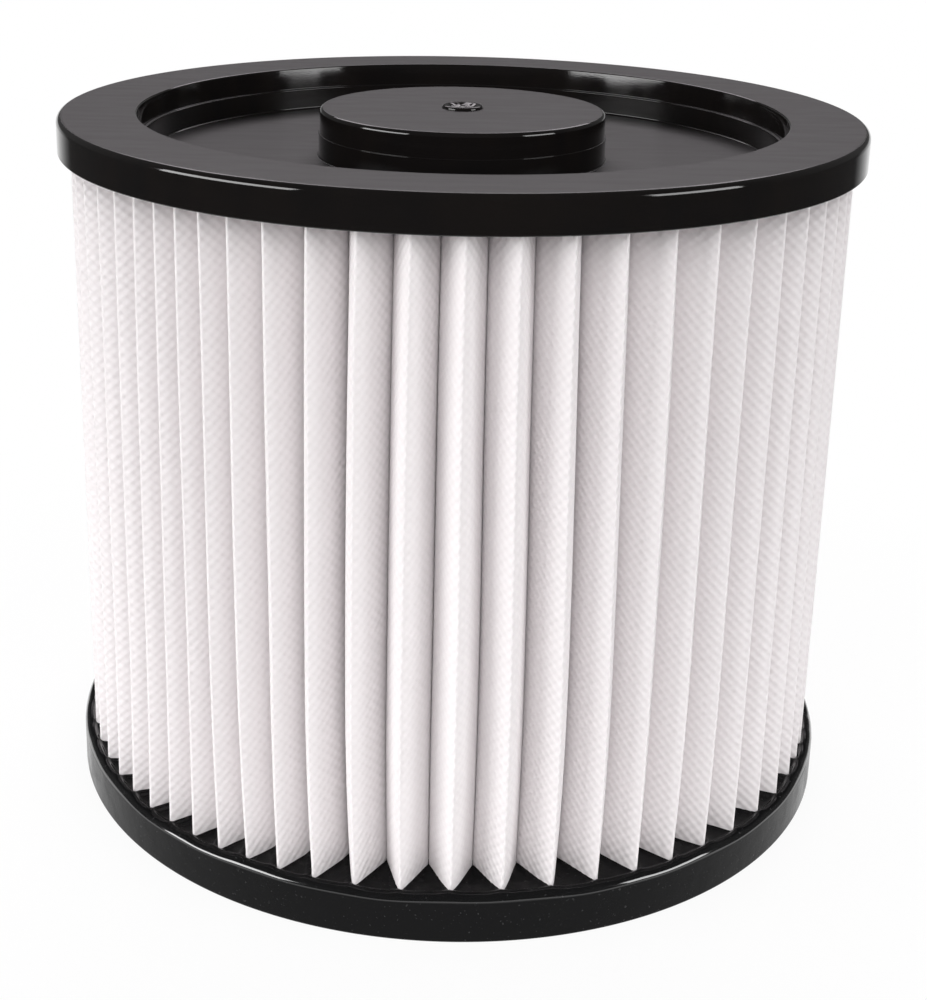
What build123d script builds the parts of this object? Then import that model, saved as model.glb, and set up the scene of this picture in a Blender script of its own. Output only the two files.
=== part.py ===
"""Pleated cartridge filter for a wet and dry vacuum cleaner.

A closed zigzag of nonwoven sheet stands between a moulded end cap above and a cast seal ring below,
with a grid tube inside that keeps suction from pulling the pleats in. The frame has +Z up and its
origin at the middle of the face that the seal ring stands on. Sizes are in millimetres.
"""
from build123d import *

import os
from math import asin, atan2, cos, hypot, pi, radians, sin

# Heights above the face that the seal ring stands on
rim_height = 164.6  # flat top of the cap's rim
seal_height = 11.3  # top of the cast seal ring

# End cap
cap_radius = 95.0
cap_plate = 2.5  # thickness of rim, well floor and puck top
rim_width = 18.3  # flat ring between the cap's edge and its well
rim_edge_round = 1.0
skirt_depth = 8.3  # from the rim's top to the skirt's lower edge
skirt_wall = 2.0
well_depth = 10.9
well_wall = 2.0  # behind the foot of the upper band
well_draft = 0.5  # how much the upper band opens towards the rim
well_step = 0.9  # narrow ledge between the upper and the lower band
step_depth = 5.5  # from the rim's top to the steps in the well's and the puck's walls
puck_radius = 34.0
puck_proud = 0.4  # how far the puck stands above the rim
puck_wall = 2.5
puck_step = 0.3
puck_edge_round = 1.0
gate_radius = 4.9  # stub of the moulding gate on the puck
gate_height = 0.8
gate_edge_round = 0.5

# Potting in the cap's channel
potting_depth = 4.5
potting_over_ends = 0.5  # adhesive between the sheet's ends and the rim

# Pleated sheet
sheet_thickness = 0.6
tip_clearance = 1.0  # between the outer folds and the skirt
fold_clearance = 0.8  # between the inner folds and the core
mouth_depth = 7.7  # from the outer folds to where the flanks of neighbouring pleats close up
slit_gap = 0.5  # between the closed-up flanks
pleat_count = 62
first_tip = -72.6  # degrees round from the front, before the uneven spacing
crowding = 3.7  # degrees that the wide uneven spacing shifts a pleat at most
crowding_waves = 3  # crowded places round the filter
crowding_phase = -51.0  # degrees
ripple = 0.6  # degrees that a shorter uneven spacing adds
ripple_waves = 6
ripple_phase = 24.0  # degrees

# Support core
core_wall = 2.2
core_columns = 20  # windows round the tube
core_rows = 6  # windows up the tube
core_rib = 6.5  # between windows side by side
core_hoop = 4.0  # between windows one above the other
core_end_band = 8.0  # above the seal ring, and below the cap

# Seal ring
seal_lip = 2.6  # from the outer folds to the ring's outside
seal_ledge = 4.0  # from the core's inside to the ring's bore
seal_embedding = 6.0  # how deep the sheet and the core stand in the ring
seal_top_round = 1.2
seal_edge_round = 0.8

# Heights that follow
step_height = rim_height - step_depth
floor_height = rim_height - well_depth
floor_underside = floor_height - cap_plate
rim_underside = rim_height - cap_plate
skirt_edge = rim_height - skirt_depth
puck_height = rim_height + puck_proud
embedded_height = seal_height - seal_embedding
sheet_top = rim_underside - potting_over_ends

# Radii that follow, from the outside in
skirt_inner_radius = cap_radius - skirt_wall
tip_radius = skirt_inner_radius - tip_clearance
tip_round = sheet_thickness  # an outer fold is creased sharp on its inside
seal_radius = tip_radius + seal_lip
mouth_radius = tip_radius - mouth_depth
well_top_radius = cap_radius - rim_width
upper_band_radius = well_top_radius - well_draft
lower_band_radius = upper_band_radius - well_step
channel_radius = upper_band_radius + well_wall
core_radius = channel_radius
core_inner_radius = core_radius - core_wall
inner_fold_radius = core_radius + fold_clearance
seal_bore_radius = core_inner_radius - seal_ledge

# Windows of the core
core_middle = (seal_height + floor_underside) / 2
window_width = 2 * pi * core_radius / core_columns - core_rib
grid_height = floor_underside - seal_height - 2 * core_end_band
window_height = (grid_height + core_hoop) / core_rows - core_hoop


def tip_angle(pleat):
    """Angle of one outer fold in radians, measured from the front towards +X."""
    even = radians(first_tip + pleat * 360 / pleat_count)
    wide_shift = crowding * sin(crowding_waves * even + radians(crowding_phase))
    short_shift = ripple * sin(ripple_waves * even + radians(ripple_phase))
    return even + radians(wide_shift + short_shift)


def outward(angle):
    """Unit vector that points out from the axis at an angle measured from the front towards +X."""
    return Vector(sin(angle), -cos(angle))


def half_pleat(tip, valley, depth):
    """Points of one half of a pleat, from its outer fold to the inner fold beside it.

    tip and valley are the angles of the two folds, and depth is how far the outline lies inside the
    sheet, from 0 on its outer face to the sheet's thickness on its inner face. The flank is the line
    from the mouth of the slit that touches the round of the outer fold, and the inner fold is flat.
    """
    side = 1 if valley > tip else -1
    out = outward(tip)
    fold_centre = out * (tip_radius - tip_round)
    slit_out = outward(valley)
    slit_side = Vector(slit_out.Y, -slit_out.X) * side
    mouth = slit_out * mouth_radius + slit_side * (slit_gap / 2)

    to_fold = fold_centre - mouth
    reach = hypot(to_fold.X, to_fold.Y)
    turn = atan2(to_fold.Y, to_fold.X) + side * asin(tip_round / reach)
    flank_in = Vector(-sin(turn), cos(turn)) * -side

    crown = fold_centre + out * (tip_round - depth)
    touch = fold_centre - flank_in * (tip_round - depth)
    mitre = (flank_in + slit_side) * (depth / (1 + flank_in.dot(slit_side)))
    slit_end_radius = inner_fold_radius + sheet_thickness - depth
    slit_end = slit_out * slit_end_radius + slit_side * (slit_gap / 2 + depth)
    return crown, touch, mouth + mitre, slit_end


def pleat_edges(depth):
    """Edges of the closed zigzag at one depth in the sheet."""
    edges = []
    for pleat in range(pleat_count):
        tip = tip_angle(pleat)
        next_tip = tip_angle(pleat + 1)
        valley_before = (tip_angle(pleat - 1) + tip) / 2
        valley_after = (tip + next_tip) / 2
        _, touch_before, mouth_before, _ = half_pleat(tip, valley_before, depth)
        crown, touch, mouth, slit_end = half_pleat(tip, valley_after, depth)
        _, _, next_mouth, next_slit_end = half_pleat(next_tip, valley_after, depth)
        if depth < tip_round:
            edges.append(ThreePointArc(touch_before, crown, touch, mode=Mode.PRIVATE))
        edges += [
            Line(mouth_before, touch_before, mode=Mode.PRIVATE),
            Line(touch, mouth, mode=Mode.PRIVATE),
            Line(mouth, slit_end, mode=Mode.PRIVATE),
            Line(slit_end, next_slit_end, mode=Mode.PRIVATE),
            Line(next_slit_end, next_mouth, mode=Mode.PRIVATE),
        ]
    return edges


with BuildPart() as end_cap:
    with BuildSketch(Plane.XZ):
        with BuildLine():
            Polyline(
                (0, puck_height),
                (puck_radius, puck_height),
                (puck_radius, step_height),
                (puck_radius + puck_step, step_height),
                (puck_radius + puck_step, floor_height),
                (lower_band_radius, floor_height),
                (lower_band_radius, step_height),
                (upper_band_radius, step_height),
                (well_top_radius, rim_height),
                (cap_radius, rim_height),
                (cap_radius, skirt_edge),
                (skirt_inner_radius, skirt_edge),
                (skirt_inner_radius, rim_underside),
                (channel_radius, rim_underside),
                (channel_radius, floor_underside),
                (puck_radius - puck_wall, floor_underside),
                (puck_radius - puck_wall, puck_height - cap_plate),
                (0, puck_height - cap_plate),
                close=True,
            )
        make_face()
    revolve(axis=Axis.Z)
    skirt_edges = end_cap.edges().filter_by(GeomType.CIRCLE).group_by(SortBy.RADIUS)[-1]
    fillet(skirt_edges.sort_by(Axis.Z)[-1], rim_edge_round)
    fillet(end_cap.edges().group_by(Axis.Z)[-1], puck_edge_round)
    with BuildSketch(Plane.XY.offset(puck_height)):
        Circle(gate_radius)
    extrude(amount=gate_height)
    fillet(end_cap.edges().group_by(Axis.Z)[-1], min(gate_edge_round, gate_height))
end_cap.part.label = "end_cap"

with BuildPart() as pleated_media:
    with BuildSketch(Plane.XY.offset(embedded_height)):
        with BuildLine():
            add(pleat_edges(0))
        make_face()
        with BuildLine():
            add(pleat_edges(sheet_thickness))
        make_face(mode=Mode.SUBTRACT)
    extrude(amount=sheet_top - embedded_height)
pleated_media.part.label = "pleated_media"

with BuildPart() as cap_potting:
    with BuildSketch(Plane.XY.offset(rim_underside - potting_depth)):
        Circle(skirt_inner_radius)
        Circle(channel_radius, mode=Mode.SUBTRACT)
    extrude(amount=potting_depth)
    add(pleated_media.part, mode=Mode.SUBTRACT)
cap_potting.part.label = "cap_potting"

core_facings = []
for column in range(core_columns):
    facing = radians(column * 360 / core_columns)
    out = outward(facing)
    start = out * (core_inner_radius - core_wall) + Vector(0, 0, core_middle)
    core_facings.append(Plane(origin=start, x_dir=outward(facing + pi / 2), z_dir=out))

with BuildPart() as support_core:
    with BuildSketch(Plane.XY.offset(embedded_height)):
        Circle(core_radius)
        Circle(core_inner_radius, mode=Mode.SUBTRACT)
    extrude(amount=floor_underside - embedded_height)
    with BuildSketch(*core_facings):
        with GridLocations(0, window_height + core_hoop, 1, core_rows):
            Rectangle(window_width, window_height)
    extrude(amount=3 * core_wall, mode=Mode.SUBTRACT)
support_core.part.label = "support_core"

with BuildPart() as seal_ring:
    with BuildSketch():
        Circle(seal_radius)
        Circle(seal_bore_radius, mode=Mode.SUBTRACT)
    extrude(amount=seal_height)
    top_edges = seal_ring.edges().group_by(Axis.Z)[-1]
    fillet(top_edges.sort_by(SortBy.RADIUS)[-1], seal_top_round)
    fillet(seal_ring.edges().group_by(Axis.Z)[0], seal_edge_round)
    add(pleated_media.part, mode=Mode.SUBTRACT)
    with BuildSketch(Plane.XY.offset(embedded_height)):
        Circle(core_radius)
        Circle(core_inner_radius, mode=Mode.SUBTRACT)
    extrude(amount=seal_embedding, mode=Mode.SUBTRACT)
seal_ring.part.label = "seal_ring"

os.makedirs("parts", exist_ok=True)
export_step(end_cap.part, "parts/end_cap.step")
export_step(cap_potting.part, "parts/cap_potting.step")
export_step(pleated_media.part, "parts/pleated_media.step")
export_step(support_core.part, "parts/support_core.step")
export_step(seal_ring.part, "parts/seal_ring.step")
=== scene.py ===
"""Dresses the pleated cartridge filter and sets it in a plain white studio.

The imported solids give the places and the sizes. The moulded cap, the folded sheet and the cast seal
ring are shown by finer surfaces of their own, and the core and the potting by their solids. Lengths are
millimetres in the classes of the filter, of its finishes and of the camera, and metres in the studio.
Angles are degrees in the fields and radians in the formulas.
"""
import logging
from dataclasses import dataclass, field
from enum import Enum
from math import pi, radians
from typing import Protocol

import bpy
import numpy as np
from mathutils import Matrix, Vector


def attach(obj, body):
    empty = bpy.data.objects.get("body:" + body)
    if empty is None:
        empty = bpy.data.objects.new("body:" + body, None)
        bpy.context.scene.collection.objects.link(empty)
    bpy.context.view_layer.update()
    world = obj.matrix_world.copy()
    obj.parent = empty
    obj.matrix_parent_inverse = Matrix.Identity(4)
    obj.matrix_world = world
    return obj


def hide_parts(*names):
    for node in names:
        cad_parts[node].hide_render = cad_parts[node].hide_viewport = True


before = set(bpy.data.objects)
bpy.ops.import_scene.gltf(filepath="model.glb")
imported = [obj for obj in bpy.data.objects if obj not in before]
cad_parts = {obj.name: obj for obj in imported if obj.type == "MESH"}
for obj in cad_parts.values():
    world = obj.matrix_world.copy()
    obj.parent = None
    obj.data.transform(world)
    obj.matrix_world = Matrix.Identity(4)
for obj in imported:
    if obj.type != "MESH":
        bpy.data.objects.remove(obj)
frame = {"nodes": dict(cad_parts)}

MM = 0.001
SHEET_UV = "developed"  # the sheet's own UV map, whose unit is a millimetre
Span = tuple[float, float]
Triple = tuple[float, float, float]
Array = np.ndarray
Socket = bpy.types.NodeSocket
CLOUD: Span = (0.3, 0.7)  # the range that a noise pattern mostly covers
TURNED_OVER = [1, 0, 3, 2]  # order of a face's corners that makes it look the other way
log = logging.getLogger("cartridge_filter")


class Node(Enum):
    """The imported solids."""

    CAP = "end_cap"
    POTTING = "cap_potting"
    SHEET = "pleated_media"
    CORE = "support_core"
    SEAL = "seal_ring"


class Slot(Enum):
    """Material slot names of the pieces that are drawn here."""

    CAP = "cap_plastic"
    SHEET = "filter_sheet"
    SEAL = "seal_elastomer"


class Side(Enum):
    """The two halves of a pleat, by the way the angle grows from its outer fold."""

    BEFORE = -1
    AFTER = 1


class Finish(Protocol):
    """Anything that can make a material."""

    def material(self) -> bpy.types.Material:
        """Builds the material."""


def grid_quads(rows: int, columns: int, rows_close: bool = False) -> Array:
    """Faces of a grid whose columns go once round and close.

    Args:
        rows: number of rows of points.
        columns: number of points in a row.
        rows_close: whether the last row joins the first.

    Returns:
        Vertex numbers, four to a face.
    """
    row = np.arange(rows if rows_close else rows - 1)[:, None]
    here = np.arange(columns)[None, :]
    beside = (here + 1) % columns
    low, high = row * columns, (row + 1) % rows * columns
    return np.stack([low + here, low + beside, high + beside, high + here], axis=-1).reshape(-1, 4)


def fan_quads(centre: int, ring_start: int, columns: int) -> Array:
    """Triangles from a pole to a ring of points, each with its last corner written twice.

    Args:
        centre: vertex number of the pole.
        ring_start: vertex number of the ring's first point.
        columns: number of points in the ring.

    Returns:
        Vertex numbers, four to a face.
    """
    here = ring_start + np.arange(columns)
    pole = np.full(columns, centre)
    return np.stack([here, np.roll(here, -1), pole, pole], axis=-1)


def placed(name: str, data: bpy.types.ID) -> bpy.types.Object:
    """Makes an object and links it into the scene.

    Args:
        name: name of the object.
        data: its mesh, lamp or camera.

    Returns:
        The object, at the origin.
    """
    made = bpy.data.objects.new(name, data)
    bpy.context.scene.collection.objects.link(made)
    return made


def new_piece(name: str, points: Array, quads: Array, sharp: float) -> bpy.types.Object:
    """Puts a closed surface into a new mesh object.

    Args:
        name: name of the object.
        points: vertex places in millimetres.
        quads: vertex numbers, four to a face, anticlockwise from outside; triangles come last and repeat
            their last one.
        sharp: angle in degrees above which an edge is shown sharp.

    Returns:
        The object, at the origin.
    """
    triangle = quads[:, 2] == quads[:, 3]
    faces = quads[~triangle].tolist() + quads[triangle, :3].tolist()
    mesh = bpy.data.meshes.new(name)
    mesh.from_pydata((points * MM).tolist(), [], faces)
    mesh.validate()
    mesh.shade_smooth()
    mesh.set_sharp_from_angle(angle=radians(sharp))
    return placed(name, mesh)


def stand_in(piece: bpy.types.Object, finish: Finish, node: Node) -> None:
    """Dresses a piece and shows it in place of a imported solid.

    Args:
        piece: the piece.
        finish: what it is made of.
        node: the solid that it stands for.
    """
    piece.data.materials.append(finish.material())
    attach(piece, "root")
    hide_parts(node.value)


def short_way(turn: Array) -> Array:
    """The same turns, each brought between minus and plus half a circle."""
    return (turn + pi) % (2 * pi) - pi


def unit(vectors: Array) -> Array:
    """The same directions at length one, by row."""
    return vectors / np.linalg.norm(vectors, axis=1, keepdims=True)


def round_corners(corners: Array, rounds: Array, steps: int, margin: float = 0.04) -> Array:
    """Rounds the inner corners of an open outline with arcs that touch both of their sides.

    At each corner the arc's centre lies on the bisector, at the round's radius from both sides, and the
    arc is sampled evenly from one touching point to the other. One more point just outside each end of
    the arc keeps the shading of the straight stretches flat.

    Args:
        corners: outline points, one row each.
        rounds: radius at each point; the first and last are not rounded.
        steps: number of spans in each arc.
        margin: distance of the added points from the arcs' ends.

    Returns:
        The points of the rounded outline.
    """
    here = corners[1:-1]
    back = unit(corners[:-2] - here)
    ahead = unit(corners[2:] - here)
    half = np.arccos(np.clip((back * ahead).sum(1), -1, 1)) / 2
    radius = rounds[1:-1]
    centre = here + unit(back + ahead) * (radius / np.sin(half))[:, None]
    start = here + back * (radius / np.tan(half))[:, None] - centre
    end = here + ahead * (radius / np.tan(half))[:, None] - centre
    first = np.arctan2(start[:, 1], start[:, 0])
    turn = short_way(np.arctan2(end[:, 1], end[:, 0]) - first)
    angle = first[:, None] + turn[:, None] * np.linspace(0, 1, steps + 1)[None, :]
    spokes = np.stack([np.cos(angle), np.sin(angle)], axis=-1)
    arcs = centre[:, None, :] + radius[:, None, None] * spokes
    before = arcs[:, :1] + back[:, None, :] * margin
    after = arcs[:, -1:] + ahead[:, None, :] * margin
    rounded = np.concatenate([before, arcs, after], axis=1)
    return np.concatenate([corners[:1], rounded.reshape(-1, 2), corners[-1:]])


def outward(angle: Array) -> Array:
    """Unit vectors that point out from the axis, at angles from the front towards +X."""
    return np.stack([np.sin(angle), -np.cos(angle)], axis=-1)


@dataclass(frozen=True)
class Wave:
    """A sine of the angle round the filter, with a whole number of waves a turn."""

    size: float
    count: int
    phase: float

    def at(self, angle: Array) -> Array:
        """The wave's value at each angle."""
        return self.size * np.sin(self.count * angle + radians(self.phase))


def turned(radius: Array, angle: Array, height: Array) -> Array:
    """Places of a grid of points that is given round the axis.

    Args:
        radius: distance from the axis, by row.
        angle: angle of each column.
        height: height, by row and column.

    Returns:
        The places, one row each.
    """
    way = outward(angle) * radius[..., None]
    return np.concatenate([way, height[..., None]], axis=-1).reshape(-1, 3)


@dataclass(frozen=True)
class Grain:
    """A fine noise that a surface is bumped with."""

    scale: float
    detail: float
    depth: float
    strength: float


class Nodes:
    """A node tree in the making, with short calls for its nodes."""

    def __init__(self, tree: bpy.types.NodeTree) -> None:
        """Takes the tree that the calls add to."""
        self.tree = tree

    def node(self, kind: str, **settings: object) -> bpy.types.Node:
        """Adds a node.

        Args:
            kind: the node's type name.
            settings: properties of the node.

        Returns:
            The node.
        """
        made = self.tree.nodes.new(kind)
        for key, value in settings.items():
            setattr(made, key, value)
        return made

    def feed(self, socket: Socket, value: object) -> None:
        """Links a socket into an input, or sets a plain value there.

        Args:
            socket: the input.
            value: a socket, a number or a colour.
        """
        if isinstance(value, Socket):
            self.tree.links.new(value, socket)
        else:
            socket.default_value = value

    def math(self, operation: str, *values: object) -> Socket:
        """Adds a math node.

        Args:
            operation: name of the operation.
            values: sockets or numbers.

        Returns:
            The node's value.
        """
        made = self.node("ShaderNodeMath", operation=operation)
        for index, value in enumerate(values):
            self.feed(made.inputs[index], value)
        return made.outputs[0]

    def spread(self, value: Socket, span: Span, low: float = 0.0, high: object = 1.0) -> Socket:
        """Maps a range of values smoothly onto another.

        Args:
            value: socket to map.
            span: where the step starts and ends.
            low: value given at the start.
            high: value given at the end, a number or a socket.

        Returns:
            The mapped value.
        """
        made = self.node("ShaderNodeMapRange", interpolation_type="SMOOTHSTEP")
        for index, number in enumerate((value, *span, low, high)):
            self.feed(made.inputs[index], number)
        return made.outputs[0]

    def parts(self, vector: Socket) -> bpy.types.bpy_prop_collection:
        """Takes a vector apart.

        Args:
            vector: socket that gives it.

        Returns:
            The sockets of its parts, by the names X, Y and Z.
        """
        made = self.node("ShaderNodeSeparateXYZ")
        self.feed(made.inputs[0], vector)
        return made.outputs

    def rays(self) -> tuple[Socket, Socket]:
        """Tells what kind of ray looks at the point.

        Returns:
            Two sockets of 0 or 1: from the camera, and from a mirror or through glass.
        """
        path = self.node("ShaderNodeLightPath").outputs
        mirror = self.math("MAXIMUM", path["Is Glossy Ray"], path["Is Transmission Ray"])
        return path["Is Camera Ray"], mirror


class Recipe(Nodes):
    """A material in the making, with calls for its shader and patterns."""

    def __init__(self, name: str) -> None:
        """Starts a material with one shader, joined to the output.

        Args:
            name: name of the material.
        """
        self.material = bpy.data.materials.new(name)
        self.material.use_nodes = True
        super().__init__(self.material.node_tree)
        self.shader = self.tree.nodes["Principled BSDF"]

    def put(self, name: str, value: object) -> None:
        """Feeds one of the shader's inputs, found by its name."""
        self.feed(self.shader.inputs[name], value)

    def place(self) -> Socket:
        """The place of a point on the piece, in metres."""
        return self.node("ShaderNodeTexCoord").outputs["Object"]

    def slope(self) -> Socket:
        """The upward part of a face's normal, which is 1 on a level face and 0 on a wall."""
        return self.parts(self.node("ShaderNodeNewGeometry").outputs["Normal"])["Z"]

    def noise(self, vector: Socket, scale: float, detail: float = 3.0) -> Socket:
        """Adds a noise pattern.

        Args:
            vector: place that it is read at.
            scale: how fine it is.
            detail: how many finer layers it has.

        Returns:
            The pattern's value.
        """
        made = self.node("ShaderNodeTexNoise")
        for name, value in (("Vector", vector), ("Scale", scale), ("Detail", detail)):
            self.feed(made.inputs[name], value)
        return made.outputs["Fac"]

    def tint(self, share: Socket, low: Triple, high: Triple) -> Socket:
        """Mixes two colours.

        Args:
            share: socket from 0 to 1.
            low: colour at 0.
            high: colour at 1.

        Returns:
            The mixed colour.
        """
        made = self.node("ShaderNodeMix", data_type="RGBA")
        self.feed(made.inputs["Factor"], share)
        self.feed(made.inputs[6], (*low, 1))
        self.feed(made.inputs[7], (*high, 1))
        return made.outputs[2]

    def bump(self, height: Socket, depth: float, strength: float, under: Socket | None = None) -> Socket:
        """Adds a bump.

        Args:
            height: socket that gives the height.
            depth: height of the bump in millimetres.
            strength: share of the bump that is used.
            under: normal of a bump below this one.

        Returns:
            The bumped normal.
        """
        made = self.node("ShaderNodeBump")
        for name, value in (("Distance", depth * MM), ("Strength", strength), ("Height", height)):
            self.feed(made.inputs[name], value)
        if under is not None:
            self.feed(made.inputs["Normal"], under)
        return made.outputs["Normal"]

    def grained(self, grain: Grain, under: Socket | None = None) -> Socket:
        """The normal of a surface with a fine noise, over another bump if one is given."""
        noise = self.noise(self.place(), grain.scale, grain.detail)
        return self.bump(noise, grain.depth, grain.strength, under)


@dataclass(frozen=True)
class GlossMoulding:
    """Black hard plastic, glossy on its walls and on the torn gate stub, softer on its flat upper faces."""

    colour: Triple = (0.004, 0.004, 0.0045)
    streak_colour: Triple = (0.009, 0.007, 0.006)
    streak_stretch: Triple = (60.0, 260.0, 60.0)  # how fine the flow streaks are along each axis
    streak_detail: float = 4.0
    wall_roughness: float = 0.06
    face_roughness: float = 0.5
    uneven: Span = (-0.02, 0.03)  # roughness that the streaks add at least and at most
    level: Span = (0.90, 0.995)  # slopes between which a wall turns into a face
    stub: Span = (165.10, 165.20)  # heights above which only the gate stub is left
    specular: float = 0.55
    grain: Grain = Grain(2600.0, 2.0, 0.02, 0.25)

    def material(self) -> bpy.types.Material:
        """Builds the finish: faint flow streaks, and a roughness that follows the slope and the height.

        Returns:
            The material.
        """
        recipe = Recipe("gloss_black_moulding")
        place = recipe.place()
        stretch = recipe.node("ShaderNodeMapping")
        recipe.feed(stretch.inputs["Vector"], place)
        recipe.feed(stretch.inputs["Scale"], self.streak_stretch)
        streaks = recipe.noise(stretch.outputs["Vector"], 1.0, self.streak_detail)
        recipe.put("Base Color", recipe.tint(streaks, self.colour, self.streak_colour))
        stub = (self.stub[0] * MM, self.stub[1] * MM)
        faces = recipe.spread(recipe.parts(place)["Z"], stub, self.face_roughness, self.wall_roughness)
        even = recipe.spread(recipe.slope(), self.level, self.wall_roughness, faces)
        recipe.put("Roughness", recipe.math("ADD", even, recipe.spread(streaks, CLOUD, *self.uneven)))
        recipe.put("Specular IOR Level", self.specular)
        recipe.put("Normal", recipe.grained(self.grain))
        return recipe.material


@dataclass(frozen=True)
class PlainMoulding:
    """Dull black plastic of the hidden core."""

    colour: Triple = (0.020, 0.020, 0.021)
    pale_colour: Triple = (0.030, 0.030, 0.0315)
    roughness: Span = (0.42, 0.55)
    cloud_scale: float = 90.0
    grain: Grain = Grain(1800.0, 3.0, 0.04, 0.4)

    def material(self) -> bpy.types.Material:
        """Builds the finish: fine mould texture and an uneven sheen.

        Returns:
            The material.
        """
        recipe = Recipe("plain_black_moulding")
        cloud = recipe.noise(recipe.place(), self.cloud_scale)
        recipe.put("Base Color", recipe.tint(cloud, self.colour, self.pale_colour))
        recipe.put("Roughness", recipe.spread(cloud, CLOUD, *self.roughness))
        recipe.put("Normal", recipe.grained(self.grain))
        return recipe.material


@dataclass(frozen=True)
class CastElastomer:
    """Black elastomer that set in a mould: satin, with a glossy bead where it ran up to the mould's edge."""

    name: str
    colour: Triple = (0.004, 0.004, 0.0043)
    speck_colour: Triple = (0.035, 0.035, 0.036)
    speck_scale: float = 1500.0
    speck_detail: float = 1.0
    speck_edge: Span = (0.70, 0.76)  # values of the pattern between which a speck begins
    roughness: float = 0.18
    uneven: Span = (-0.06, 0.10)  # roughness that the clouds add at least and at most
    cloud_scale: float = 140.0
    cloud_detail: float = 4.0
    specular: float = 0.1
    bead_foot: Span = (0.1, 0.3)  # slopes between which the wall turns into the glossy bead
    bead_top: Span = (0.8, 0.96)  # slopes between which the bead turns into the level top
    bead_roughness: float = 0.07
    bead_index: float = 1.8
    skin: Grain = Grain(260.0, 3.0, 0.4, 0.2)
    grain: Grain = Grain(2400.0, 2.0, 0.04, 0.4)

    def material(self) -> bpy.types.Material:
        """Builds the finish: satin skin with small pale specks, and a gloss coat where the face is sloped.

        Returns:
            The material.
        """
        recipe = Recipe(self.name)
        place = recipe.place()
        speck = recipe.spread(recipe.noise(place, self.speck_scale, self.speck_detail), self.speck_edge)
        recipe.put("Base Color", recipe.tint(speck, self.colour, self.speck_colour))
        recipe.put("Specular IOR Level", self.specular)
        cloud = recipe.noise(place, self.cloud_scale, self.cloud_detail)
        smoothest, dullest = (self.roughness + change for change in self.uneven)
        recipe.put("Roughness", recipe.spread(cloud, CLOUD, smoothest, dullest))
        slope = recipe.slope()
        sloped = recipe.spread(slope, self.bead_foot)
        not_level = recipe.spread(slope, self.bead_top, 1.0, 0.0)
        recipe.put("Coat Weight", recipe.math("MULTIPLY", sloped, not_level))
        recipe.put("Coat Roughness", self.bead_roughness)
        recipe.put("Coat IOR", self.bead_index)
        recipe.put("Normal", recipe.grained(self.grain, recipe.grained(self.skin)))
        return recipe.material


@dataclass(frozen=True)
class BondedNonwoven:
    """White nonwoven sheet with a fine quilt of staggered bonded dimples."""

    colour: Triple = (0.88, 0.846, 0.852)
    # painted shade: the colour at the bottom of each dimple, a little darker than the sheet
    dimple_shade_colour: Triple = (0.85, 0.813, 0.820)
    across: float = 2.5  # pitch of the lattice along the developed sheet
    up: float = 2.38  # pitch of the lattice up the sheet
    depth: float = 0.09
    roughness: float = 0.85
    specular: float = 0.25
    sheen: float = 0.12
    sheen_roughness: float = 0.5
    fibre: Grain = Grain(1400.0, 4.0, 0.03, 0.5)

    def material(self) -> bpy.types.Material:
        """Builds the finish on the sheet's own UV map.

        The lattice is the product of one cosine along the sheet and one up it, which has its peaks in
        staggered rows. The peaks are the dimples, which the bump sinks and which get painted shade: a
        slightly darker colour.

        Returns:
            The material.
        """
        recipe = Recipe("white_bonded_nonwoven")
        flat = recipe.parts(recipe.node("ShaderNodeUVMap", uv_map=SHEET_UV).outputs["UV"])
        along = recipe.math("COSINE", recipe.math("MULTIPLY", flat["X"], 2 * pi / self.across))
        rising = recipe.math("COSINE", recipe.math("MULTIPLY", flat["Y"], 2 * pi / self.up))
        lattice = recipe.math("MULTIPLY", along, rising)
        # painted shade: the dimples are tinted darker, as if shaded in their hollows
        dimple_shade = recipe.spread(lattice, (-1.0, 1.0))
        recipe.put("Base Color", recipe.tint(dimple_shade, self.colour, self.dimple_shade_colour))
        recipe.put("Roughness", self.roughness)
        recipe.put("Specular IOR Level", self.specular)
        recipe.put("Sheen Weight", self.sheen)
        recipe.put("Sheen Roughness", self.sheen_roughness)
        emboss = recipe.bump(recipe.math("SUBTRACT", 0.0, lattice), self.depth, 1.0)
        recipe.put("Normal", recipe.grained(self.fibre, emboss))
        return recipe.material


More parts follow.
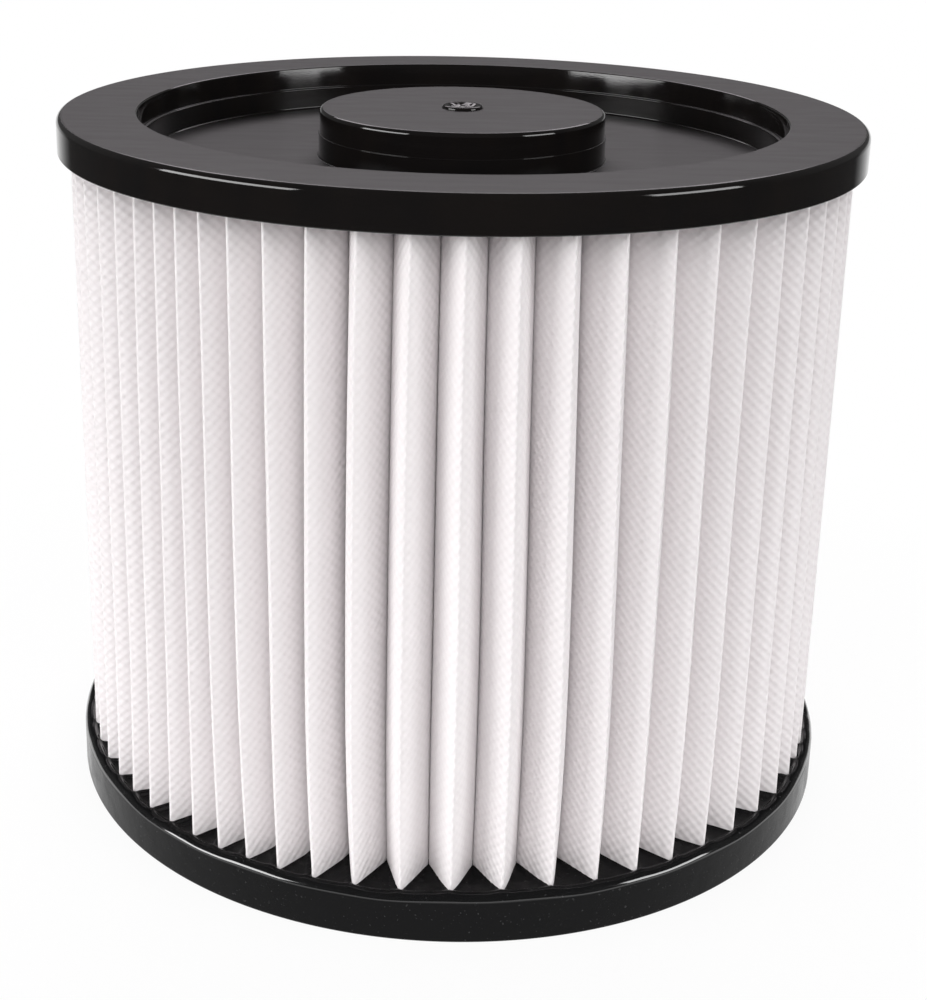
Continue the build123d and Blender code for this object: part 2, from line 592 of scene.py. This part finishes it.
@dataclass
class Pleats:
    """The folded sheet: a closed zigzag of unevenly spaced pleats, built as two faces a thickness apart."""

    count: int = 62
    first_tip: float = -72.6  # from the front, before the uneven spacing
    crowding: Wave = Wave(3.7, 3, -51.0)  # degrees that the wide uneven spacing shifts a pleat
    ripple: Wave = Wave(0.6, 6, 24.0)  # degrees that a shorter uneven spacing adds
    twist: float = 0.3  # degrees that the feet stand round from the heads
    lean: Wave = Wave(0.8, 8, -46.0)  # degrees that single pleats lean beyond that
    gather: Wave = Wave(0.7, 4, 154.0)  # degrees that the feet are drawn together in places
    gather_height: float = 0.3  # share of the free height over which this fades out
    stray: float = 0.22  # degrees that a fold wanders between its ends
    double_stray: float = 0.6  # size of the full wave in this against the half wave
    seed: int = 5
    thickness: float = 0.6
    tip_radius: float = 92.0
    tip_round: float = 0.4
    crease: float = 2.6  # how far a pressed fold's inner corner stands back, per depth below the round
    crease_reach: float = 0.1  # share of the inner flank that the corner's points take up
    mouth_radius: float = 81.4
    slit_gap: float = 0.2
    inner_fold_radius: float = 79.0
    bulge: float = 0.75  # how far a flank bows out
    bulge_place: float = 0.6  # power of the way along the flank, which draws the bow towards the fold
    bottom: float = 5.3
    top: float = 161.6
    held_below: float = 11.3
    held_above: float = 156.3
    rows: int = 24
    arc_points: int = 4  # on half an outer or inner fold
    flank_spans: int = 8
    flank_packing: float = 1.3  # power that draws the flank's points towards the fold
    sharp: float = 70.0
    finish: BondedNonwoven = field(default_factory=BondedNonwoven)

    def even_angles(self) -> Array:
        """Angles of evenly spaced outer folds, with one more at each end than the filter has."""
        return np.radians(self.first_tip + np.arange(-1, self.count + 1) * 360 / self.count)

    def tip_angles(self) -> Array:
        """Angles of the outer folds: even steps, shifted by two sines with a few waves a turn."""
        even = self.even_angles()
        return even + np.radians(self.crowding.at(even) + self.ripple.at(even))

    def heights(self) -> Array:
        """Heights of the rows of points, evenly spaced."""
        return np.linspace(self.bottom, self.top, self.rows)

    def free_height(self) -> Array:
        """Share of the way up the free part of the sheet, by row."""
        share = (self.heights() - self.held_below) / (self.held_above - self.held_below)
        return np.clip(share, 0, 1)[:, None]

    def wander(self) -> Array:
        """Works out how far each fold stands sideways from its even place.

        A straight lean, which is a common twist plus a sine of the angle, tilts the fold about its middle.
        The foot is shifted by another sine of the angle that fades out upwards. A half wave between the two
        ends and a smaller full wave, each with a random size per fold, are added.

        Returns:
            Angles by row and fold.
        """
        free = self.free_height()
        even = self.even_angles()
        lean = self.twist + self.lean.at(even)
        foot = self.gather.at(even) * np.clip(1 - free / self.gather_height, 0, 1) ** 2
        draw = np.random.default_rng(self.seed)
        size = draw.uniform(-1, 1, (2, self.count))
        sway = np.sin(pi * free) * size[0] + self.double_stray * np.sin(2 * pi * free) * size[1]
        around = np.concatenate([sway[:, -1:], sway, sway[:, :1]], axis=1)
        return np.radians(lean * (0.5 - free) + foot + self.stray * around)

    def half(self, side: Side, depth: float) -> Array:
        """Points of one half of every pleat at one depth in the sheet, from the outer to the inner fold.

        The outer fold is an arc round its centre, and on the sheet's inner face a pressed corner. The flank
        is the line from the slit's mouth to the fold, which touches the arc. It is bowed out by half a sine
        wave that is drawn towards the fold and dies away at the held ends. The slit runs straight in to an
        arc, the inner fold.

        Args:
            side: which half of the pleat.
            depth: how far inside the sheet, from 0 on its outer face.

        Returns:
            Places by row, pleat and point.
        """
        sign = side.value
        folds = self.tip_angles()[None, :] + self.wander()
        tip = folds[:, 1:-1]
        valley = (tip + (folds[:, 2:] if side is Side.AFTER else folds[:, :-2])) / 2
        out, slit_out = outward(tip), outward(valley)
        slit_side = np.stack([slit_out[..., 1], -slit_out[..., 0]], axis=-1) * sign
        centre = out * (self.tip_radius - self.tip_round)
        mouth = slit_out * self.mouth_radius + slit_side * (self.slit_gap / 2)

        reach = centre - mouth
        length = np.linalg.norm(reach, axis=-1)
        turn = np.arctan2(reach[..., 1], reach[..., 0]) + sign * np.arcsin(self.tip_round / length)
        flank_in = np.stack([-np.sin(turn), np.cos(turn)], axis=-1) * -sign
        first = np.arctan2(out[..., 1], out[..., 0])
        swing = short_way(np.arctan2(-flank_in[..., 1], -flank_in[..., 0]) - first)

        facing = (flank_in * slit_side).sum(-1, keepdims=True)
        inner_mouth = (mouth + (flank_in + slit_side) * (depth / (1 + facing)))[..., None, :]
        bend = np.linspace(0, 1, self.arc_points)
        if depth < self.tip_round:
            angle = first[..., None] + swing[..., None] * bend
            spokes = np.stack([np.cos(angle), np.sin(angle)], axis=-1)
            arc = centre[..., None, :] + spokes * (self.tip_round - depth)
        else:
            corner = (centre - out * self.crease * (depth - self.tip_round))[..., None, :]
            arc = corner + (inner_mouth - corner) * self.crease_reach * bend[:, None]

        share = np.linspace(0, 1, self.flank_spans + 1)[1:, None] ** self.flank_packing
        touch = arc[..., -1:, :]
        held = np.sqrt(np.clip(np.sin(pi * self.free_height()), 0, 1))[..., None, None]
        bow = self.bulge * held * np.sin(pi * share**self.bulge_place)
        flank = touch + (inner_mouth - touch) * share - flank_in[..., None, :] * bow

        fold_centre = slit_out * (self.inner_fold_radius + self.thickness + self.slit_gap / 2)
        curl = np.linspace(0, pi / 2, self.arc_points)[:, None]
        ends = slit_side[..., None, :] * np.cos(curl) - slit_out[..., None, :] * np.sin(curl)
        fold = fold_centre[..., None, :] + ends * (self.slit_gap / 2 + depth)
        return np.concatenate([arc, flank, fold], axis=-2)

    def face(self, depth: float) -> Array:
        """Joins the halves of the pleats into one face of the sheet, once round the filter.

        Args:
            depth: how far inside the sheet, from 0 on its outer face.

        Returns:
            Places by row and point.
        """
        before = self.half(Side.BEFORE, depth)[..., ::-1, :]
        after = self.half(Side.AFTER, depth)
        pleat = np.concatenate([before[..., 1:, :], after[..., 1:, :]], axis=-2)
        flat = pleat.reshape(self.rows, -1, 2)
        height = np.broadcast_to(self.heights()[:, None, None], (*flat.shape[:2], 1))
        return np.concatenate([flat, height], axis=-1)

    def developed(self, outer: Array, inner: Array) -> Array:
        """Measures along the unfolded sheet, half way through it and half way up.

        Args:
            outer: places of the outer face.
            inner: places of the inner face.

        Returns:
            Length at each point of a row, and at the end the length once round.
        """
        line = (outer + inner)[self.rows // 2] / 2
        steps = np.linalg.norm(np.roll(line, -1, axis=0) - line, axis=1)
        return np.concatenate([[0.0], np.cumsum(steps)])

    def lay_out(self, mesh: bpy.types.Mesh, along: Array, height: Array) -> None:
        """Gives the sheet its UV map: the length along the unfolded sheet, and the height, in millimetres.

        Every face spans one column and the next. A corner that isn't on the face's own column is on the
        next one, which at the seam is the end of the length and not its start.

        Args:
            mesh: the sheet's mesh.
            along: length at each column, and at the end the length once round.
            height: height of each vertex.
        """
        columns = len(along) - 1
        column = np.tile(np.arange(columns), len(mesh.polygons) // columns)[:, None]
        corners = np.empty(len(mesh.loops), dtype=np.int32)
        mesh.loops.foreach_get("vertex_index", corners)
        corners = corners.reshape(-1, 4)
        across = along[np.where(corners % columns == column, column, column + 1)]
        flat = np.stack([across, height[corners]], axis=-1)
        mesh.uv_layers.new(name=SHEET_UV).uv.foreach_set("vector", flat.astype(np.float32).ravel())

    def build(self) -> None:
        """Builds and dresses the sheet.

        The outer and the inner face are grids of rows up the sheet, joined by a strip along each end.
        """
        outer, inner = self.face(0.0), self.face(self.thickness)
        columns = outer.shape[1]
        points = np.concatenate([outer.reshape(-1, 3), inner.reshape(-1, 3)])
        shift = self.rows * columns
        grid = grid_quads(self.rows, columns)
        behind = grid[:, ::-1] + shift
        here = np.arange(columns)
        beside = np.roll(here, -1)
        hem = np.stack([beside, here, here + shift, beside + shift], axis=-1)
        rim = hem[:, TURNED_OVER] + shift - columns
        piece = new_piece("pleated_sheet", points, np.concatenate([grid, behind, rim, hem]), self.sharp)
        along = self.developed(outer, inner)
        self.lay_out(piece.data, along, points[:, 2])
        stand_in(piece, self.finish, Node.SHEET)
        log.info("pleated_sheet: %d pleats, %.0f mm of sheet", self.count, along[-1])


@dataclass
class EndCap:
    """The moulded cap, turned about the axis: rim, skirt, stepped well, and puck with its gate stub."""

    rim_height: float = 164.6
    cap_radius: float = 95.0
    plate: float = 2.5
    rim_width: float = 18.3
    edge_round: float = 1.4
    skirt_depth: float = 8.3
    skirt_wall: float = 2.0
    skirt_round: float = 0.3  # on the skirt's lower edge and in the channel behind it
    well_depth: float = 10.9
    well_wall: float = 2.0
    well_draft: float = 0.5
    well_round: float = 0.4
    well_step: float = 0.9
    step_depth: float = 5.5
    step_round: float = 0.22
    fine_round: float = 0.12  # in the corners on the well's step and at the gate stub's foot
    floor_round: float = 0.35
    puck_radius: float = 34.0
    puck_proud: float = 0.4
    puck_round: float = 1.0
    puck_wall: float = 2.5
    puck_step: float = 0.3
    puck_step_foot: float = 0.06
    puck_step_round: float = 0.10
    underside_round: float = 0.4
    gate_radius: float = 4.9
    gate_height: float = 0.8
    gate_edge_round: float = 0.55
    gate_lip: float = 1.3  # width of the stub's raised edge
    gate_slope: float = 1.0  # width of the slope from there into the dish
    gate_dish: float = 0.5
    gate_dish_round: float = 0.5
    dish_rings: int = 5
    dish_ring_radii: Span = (0.4, 2.0)
    tear_depth: float = 0.16
    # Each wave's size, its radians per millimetre along x and along y, and its phase in radians
    tear_waves: tuple[tuple[float, ...], ...] = (
        (1.0, 2.3, 0.8, 0.0),
        (0.7, 1.1, -2.9, 1.3),
        (0.4, 4.7, 3.6, 0.0),
    )
    columns: int = 360
    arc_steps: int = 6
    sharp: float = 50.0
    finish: GlossMoulding = field(default_factory=GlossMoulding)

    def outline(self) -> tuple[Array, Array]:
        """Corners of the section from the top of the axis round to its underside, and their rounds.

        Returns:
            Radius and height of each corner, and the radius of its round.
        """
        rim, step = self.rim_height, self.rim_height - self.step_depth
        floor, puck = rim - self.well_depth, rim + self.puck_proud
        skirt_edge = rim - self.skirt_depth
        well = self.cap_radius - self.rim_width
        upper = well - self.well_draft
        lower = upper - self.well_step
        channel = upper + self.well_wall
        skirt_in = self.cap_radius - self.skirt_wall
        puck_foot = self.puck_radius + self.puck_step
        inside = self.puck_radius - self.puck_wall
        gate_top = puck + self.gate_height
        lip = self.gate_radius - self.gate_lip
        dish = gate_top - self.gate_dish
        corners = np.array([
            (0.0, dish, 0.0),
            (lip - self.gate_slope, dish, self.gate_dish_round),
            (lip, gate_top, self.gate_dish_round),
            (self.gate_radius, gate_top, self.gate_edge_round),
            (self.gate_radius, puck, self.fine_round),
            (self.puck_radius, puck, self.puck_round),
            (self.puck_radius, step, self.puck_step_foot),
            (puck_foot, step, self.puck_step_round),
            (puck_foot, floor, self.floor_round),
            (lower, floor, self.floor_round),
            (lower, step, self.step_round),
            (upper, step, self.fine_round),
            (well, rim, self.well_round),
            (self.cap_radius, rim, self.edge_round),
            (self.cap_radius, skirt_edge, self.skirt_round),
            (skirt_in, skirt_edge, self.skirt_round),
            (skirt_in, rim - self.plate, self.skirt_round),
            (channel, rim - self.plate, self.skirt_round),
            (channel, floor - self.plate, self.skirt_round),
            (inside, floor - self.plate, self.underside_round),
            (inside, puck - self.plate, self.underside_round),
            (0.0, puck - self.plate, 0.0),
        ])
        return corners[:, :2], corners[:, 2]

    def torn(self, radius: Array, angle: Array) -> Array:
        """Height of the torn plastic in the gate's dish: a few crossed waves that fade towards its edge.

        Args:
            radius: distance from the axis, by row.
            angle: angle of each column.

        Returns:
            Height to add, by row and column.
        """
        fade = np.sqrt(np.clip(1 - radius / (self.gate_radius - self.gate_lip), 0, 1))
        x, y = radius * np.cos(angle), radius * np.sin(angle)
        waves = sum(size * np.sin(a * x + b * y + phase) for size, a, b, phase in self.tear_waves)
        return self.tear_depth * waves * fade

    def build(self) -> None:
        """Builds and dresses the cap.

        The section is carried round the axis, and closed at the axis by a fan above and one below. It runs
        outwards along the top and back below, so the faces of the grid and of the lower fan are turned over.
        """
        line = round_corners(*self.outline(), self.arc_steps)
        dish = np.linspace(*self.dish_ring_radii, self.dish_rings)
        inside = np.stack([dish, np.full_like(dish, line[0, 1])], axis=-1)
        ring = np.concatenate([inside, line[1:-1]])
        rows = len(ring)
        angle = np.linspace(0, 2 * pi, self.columns, endpoint=False)
        radius, height = ring[:, :1], ring[:, 1:]
        above = height > self.rim_height + self.puck_proud
        height = height + np.where(above, self.torn(radius, angle), 0.0)
        poles = np.array([[0, 0, line[0, 1]], [0, 0, line[-1, 1]]])
        points = np.concatenate([turned(radius, angle, height), poles])
        grid = grid_quads(rows, self.columns)[:, TURNED_OVER]
        upper_fan = fan_quads(len(points) - 2, 0, self.columns)
        under_fan = fan_quads(len(points) - 1, (rows - 1) * self.columns, self.columns)[:, TURNED_OVER]
        quads = np.concatenate([grid, upper_fan, under_fan])
        piece = new_piece("moulded_cap", points, quads, self.sharp)
        stand_in(piece, self.finish, Node.CAP)
        log.info("moulded_cap: %d rings of %d points", rows, self.columns)


@dataclass
class SealRing:
    """The poured ring: a section carried round the axis, whose top wets the pleats and has a wavy edge."""

    pleats: Pleats
    radius: float = 94.6
    bore: float = 72.0
    height: float = 11.3
    edge_round: float = 1.9
    edge_steps: int = 6
    foot_round: float = 0.7
    bore_round: float = 0.8
    bore_steps: int = 5
    seam: float = 6.0  # from the bore to where the section starts and ends on the lower face
    top_inset: float = 0.2  # from the edge's round to the first ring of the top
    top_end: float = 83.0  # radius of the last ring of the top, deep between the pleats
    top_rings: int = 20
    level_radius: float = 82.5  # inside this the top stays level
    fade: float = 3.0  # below the top, over which its shape dies away
    swell: tuple[Wave, ...] = (Wave(0.40, 4, 63.0254), Wave(0.24, 11, 22.9183), Wave(0.14, 27, 114.5916))
    swell_radii: Span = (88.0, 93.0)  # between which the swell begins
    dish: float = 0.8  # how far the top lies below the outer edge
    dish_slope: float = 1.2  # width of the slope from the edge into the dish
    lip: float = 0.45  # how far the elastomer creeps up the sheet
    lip_reach: float = 0.7
    bay_sag: float = 0.2  # how far the top sags between two pleats
    bay_reach: float = 2.5  # distance from the sheet at which the sag is full
    bay_edge: float = 3.0  # distance from the ring's outside at which the sag is full
    per_pleat: int = 16
    sharp: float = 60.0
    finish: CastElastomer = field(default_factory=lambda: CastElastomer("satin_black_elastomer"))

    def angles(self) -> Array:
        """Angle of each column, evenly shared out between each fold and the next."""
        tips = self.pleats.tip_angles()[1:]
        return np.linspace(tips[:-1], tips[1:], self.per_pleat, endpoint=False, axis=1).ravel()

    def outline(self) -> tuple[Array, Array]:
        """Section of the ring, once round and closed, and how much of the top's shape each point takes.

        Returns:
            Radius and height of each point, and a share from 0 to 1.
        """
        start, end = (self.bore + self.seam, 0.0), (self.top_end, self.height)
        outside = np.array([start, (self.radius, 0.0), (self.radius, self.height), end])
        inside = np.array([end, (self.bore, self.height), (self.bore, 0.0), start])
        outside_rounds = np.array([0.0, self.foot_round, self.edge_round, 0.0])
        inside_rounds = np.array([0.0, self.bore_round, self.bore_round, 0.0])
        edge = round_corners(outside, outside_rounds, self.edge_steps)[:-1]
        back = round_corners(inside, inside_rounds, self.bore_steps)[1:-1]
        rings = np.linspace(self.radius - self.edge_round - self.top_inset, self.top_end, self.top_rings)
        top = np.stack([rings, np.full_like(rings, self.height)], axis=-1)
        line = np.concatenate([edge, top, back])
        share = np.clip((line[:, 1] - self.height + self.fade) / self.fade, 0, 1)
        return line, share

    def clear(self, radius: Array, angle: Array) -> Array:
        """Distance of each point from the sheet's outer face, in the corner between two pleats.

        The flank is taken as a straight line from the outer fold to the slit's mouth, and the distance is
        measured square to it; outside the folds it is measured to the fold itself.

        Args:
            radius: distance from the axis, by row.
            angle: angle of each column.

        Returns:
            Distance by row and column, negative inside the sheet.
        """
        sheet = self.pleats
        tips = sheet.tip_angles()[1:]
        before, after = np.repeat(tips[:-1], self.per_pleat), np.repeat(tips[1:], self.per_pleat)
        aside = radius * np.minimum(angle - before, after - angle)
        fold = sheet.tip_radius - sheet.tip_round
        mouth = sheet.mouth_radius * (after - before) / 2 - sheet.slit_gap / 2
        slope = (mouth - sheet.tip_round) / (fold - sheet.mouth_radius)
        flank = (aside - sheet.tip_round - (fold - radius) * slope) / np.hypot(1, slope)
        tip = np.hypot(aside, radius - fold) - sheet.tip_round
        return np.where(radius > fold, tip, flank)

    def relief(self, radius: Array, angle: Array) -> Array:
        """Shape of the top above its even level.

        It is the swell of the edge, which is three waves, less a dish that starts at the edge, plus a
        lip that dies away with the distance from the sheet, less a sag in the middle of each bay between
        two pleats.

        Args:
            radius: distance from the axis, by row.
            angle: angle of each column.

        Returns:
            Height to add, by row and column.
        """
        clear = self.clear(radius, angle)
        start, full = self.swell_radii
        edge = np.clip((radius - start) / (full - start), 0, 1)
        lip = self.lip * np.exp(-np.clip(clear, 0, None) / self.lip_reach)
        bay = np.clip(clear / self.bay_reach, 0, 1) * np.clip((self.radius - radius) / self.bay_edge, 0, 1)
        sunk = np.clip((self.radius - self.edge_round - radius) / self.dish_slope, 0, 1)
        dish = self.dish * sunk * sunk * (3 - 2 * sunk)
        wet = np.where(radius > self.level_radius, lip - self.bay_sag * bay - dish, 0.0)
        return sum(wave.at(angle) for wave in self.swell) * edge + wet

    def build(self) -> None:
        """Builds and dresses the ring.

        The section is carried round the axis, and the relief is added to the height of its top.
        """
        line, share = self.outline()
        angle = self.angles()
        radius = line[:, :1]
        height = line[:, 1:] + share[:, None] * self.relief(radius, angle)
        quads = grid_quads(len(line), len(angle), rows_close=True)
        piece = new_piece("cast_seal_ring", turned(radius, angle, height), quads, self.sharp)
        stand_in(piece, self.finish, Node.SEAL)
        log.info("cast_seal_ring: %d by %d points", len(line), len(angle))


@dataclass
class HiddenParts:
    """The core and the potting, shown by their solids."""

    core: PlainMoulding = field(default_factory=PlainMoulding)
    potting: CastElastomer = field(default_factory=lambda: CastElastomer("black_potting", roughness=0.42))

    def dress(self, nodes: dict[str, bpy.types.Object]) -> None:
        """Gives the two solids their finishes.

        Args:
            nodes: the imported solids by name.
        """
        for node, finish in ((Node.CORE, self.core), (Node.POTTING, self.potting)):
            mesh = nodes[node.value].data
            mesh.materials.clear()
            mesh.materials.append(finish.material())
            log.info("%s: dressed", node.value)


@dataclass
class PhotoCamera:
    """The camera that took the picture, found from the circles of the cap and of the seal ring."""

    away: float = 413.2
    above_rim: float = 68.2
    rim_height: float = 164.6
    pitch: float = 17.822  # down from level
    yaw: float = 0.902
    roll: float = 1.122
    focal_pixels: float = 1737.2
    centre_x: float = 430.2  # pixel that the lens looks at
    centre_y: float = 367.1
    width: int = 927
    height: int = 1000
    sensor: float = 36.0
    clip: Span = (10.0, 50000.0)

    def axes(self) -> Matrix:
        """Rotation of the camera: its roll, then its pitch down from level, then its yaw.

        Returns:
            A matrix that turns a camera from looking down to looking at the filter.
        """
        turns = ((self.yaw, "Z"), (90 - self.pitch, "X"), (self.roll, "Z"))
        yaw, pitch, roll = (Matrix.Rotation(radians(angle), 4, axis) for angle, axis in turns)
        return yaw @ pitch @ roll

    def build(self) -> None:
        """Makes the camera and sets it as the scene's."""
        long_side = max(self.width, self.height)
        data = bpy.data.cameras.new("photo_camera")
        data.sensor_width = self.sensor
        data.lens = self.focal_pixels * self.sensor / long_side
        data.shift_x = (self.width / 2 - self.centre_x) / long_side
        data.shift_y = (self.centre_y - self.height / 2) / long_side
        data.clip_start, data.clip_end = (distance * MM for distance in self.clip)
        camera = placed("photo_camera", data)
        place = Vector((0, -self.away, self.rim_height + self.above_rim)) * MM
        camera.matrix_world = Matrix.Translation(place) @ self.axes()
        bpy.context.scene.camera = camera


@dataclass(frozen=True)
class Softbox:
    """One soft lamp, aimed at the middle of the filter."""

    name: str
    place: Triple
    size: Span
    power: float
    colour: Triple = (1.0, 1.0, 1.0)
    in_gloss: bool = True  # whether glossy surfaces mirror it

    def build(self, aim: Vector) -> None:
        """Makes the lamp.

        Args:
            aim: the point that it faces.
        """
        data = bpy.data.lights.new(self.name, "AREA")
        data.shape = "RECTANGLE"
        data.size, data.size_y = self.size
        data.energy = self.power
        data.color = self.colour
        lamp = placed(self.name, data)
        lamp.visible_glossy = self.in_gloss
        lamp.location = self.place
        lamp.rotation_euler = (aim - Vector(self.place)).to_track_quat("-Z", "Y").to_euler()


@dataclass
class Studio:
    """White floor and backdrop, a dim room in front, a large soft key light and weaker lamps round about."""

    lamps: tuple[Softbox, ...] = (
        Softbox("front_key", (0.10, -1.65, 1.30), (3.0, 2.0), 37.0, in_gloss=False),
        Softbox("left_softbox", (-1.12, -0.56, 0.38), (0.95, 0.44), 10.0),
        Softbox("right_softbox", (1.10, -0.56, 0.38), (0.60, 0.44), 4.8),
        Softbox("back_fill", (0.0, 1.60, 0.80), (2.6, 1.6), 24.0, in_gloss=False),
        Softbox("back_softbox", (0.0, 1.00, 1.05), (1.3, 0.6), 7.5, (1.0, 0.94, 0.98)),
    )
    aim: Triple = (0.0, 0.0, 0.09)
    room: float = 0.05
    backdrop: float = 0.10
    backdrop_side: Span = (-0.15, 0.35)  # backward parts of a direction between which the backdrop begins
    horizon: Span = (-0.05, 0.05)  # upward parts between which it begins
    foot_side: Span = (0.7, 0.95)  # backward parts between which its white foot begins
    foot_top: Span = (0.08, -0.02)  # upward parts between which the foot begins, from above
    floor_radius: float = 0.34
    floor_points: int = 96
    floor_gap: float = 0.0002  # below the ring's lower face, so that the two don't coincide
    floor_grey: float = 0.85
    floor_roughness: float = 0.9
    shade: Span = (0.10, 0.255)  # distances from the axis between which the floor's shading ends
    shade_white: float = 0.93  # share of plain white in the shaded part

    def world(self) -> None:
        """Sets the surroundings: a dim room in front, a pale backdrop behind that is white at its foot.

        The camera sees plain white all round, and a mirror sees the backdrop's white foot.
        """
        world = bpy.data.worlds.new("white_studio")
        bpy.context.scene.world = world
        world.use_nodes = True
        nodes = Nodes(world.node_tree)
        way = nodes.parts(nodes.node("ShaderNodeTexCoord").outputs["Generated"])
        behind = nodes.spread(way["Y"], self.backdrop_side, 0.0, self.backdrop - self.room)
        upper = nodes.math("MULTIPLY", behind, nodes.spread(way["Z"], self.horizon))
        dim = nodes.math("ADD", upper, self.room)
        low = nodes.spread(way["Z"], self.foot_top)
        foot = nodes.math("MULTIPLY", nodes.spread(way["Y"], self.foot_side), low)
        camera, mirror = nodes.rays()
        white = nodes.math("MAXIMUM", camera, nodes.math("MULTIPLY", foot, mirror))
        back = nodes.tree.nodes["Background"]
        nodes.feed(back.inputs["Strength"], nodes.math("MAXIMUM", white, dim))
        nodes.feed(back.inputs["Color"], (1, 1, 1, 1))

    def floor_finish(self) -> bpy.types.Material:
        """Builds the floor's finish: pale, and to the camera and in mirrors mostly plain white.

        Returns:
            The material.
        """
        recipe = Recipe("pale_floor")
        recipe.put("Base Color", (self.floor_grey, self.floor_grey, self.floor_grey, 1))
        recipe.put("Roughness", self.floor_roughness)
        recipe.put("Specular IOR Level", 0.0)
        reach = recipe.node("ShaderNodeVectorMath", operation="LENGTH")
        recipe.feed(reach.inputs[0], recipe.place())
        white = recipe.spread(reach.outputs["Value"], self.shade, self.shade_white)
        seen = recipe.math("MAXIMUM", *recipe.rays())
        blend = recipe.node("ShaderNodeMixShader")
        recipe.feed(blend.inputs[0], recipe.math("MULTIPLY", seen, white))
        recipe.feed(blend.inputs[1], recipe.shader.outputs[0])
        recipe.feed(blend.inputs[2], recipe.node("ShaderNodeEmission").outputs[0])
        recipe.feed(recipe.tree.nodes["Material Output"].inputs["Surface"], blend.outputs[0])
        return recipe.material

    def floor(self) -> None:
        """Lays a round pale floor, shaded a little by the filter and plain white further out."""
        angle = np.linspace(0, 2 * pi, self.floor_points, endpoint=False)
        level = np.full(self.floor_points, -self.floor_gap)
        rim = np.column_stack([outward(angle) * self.floor_radius, level])
        mesh = bpy.data.meshes.new("studio_floor")
        mesh.from_pydata(rim.tolist(), [], [list(range(self.floor_points))])
        mesh.materials.append(self.floor_finish())
        floor = placed("studio_floor", mesh)

    def build(self) -> None:
        """Sets the surroundings, the floor, the lamps and the colour view."""
        self.world()
        self.floor()
        for lamp in self.lamps:
            lamp.build(Vector(self.aim))
        bpy.context.scene.view_settings.view_transform = "Standard"


def main() -> None:
    """Builds the filter and its studio."""
    logging.basicConfig(level=logging.INFO, format="%(name)s %(message)s")
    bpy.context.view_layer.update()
    pleats = Pleats()
    pleats.build()
    EndCap().build()
    SealRing(pleats).build()
    HiddenParts().dress(frame["nodes"])
    Studio().build()
    PhotoCamera().build()


if __name__ == "__main__":
    main()
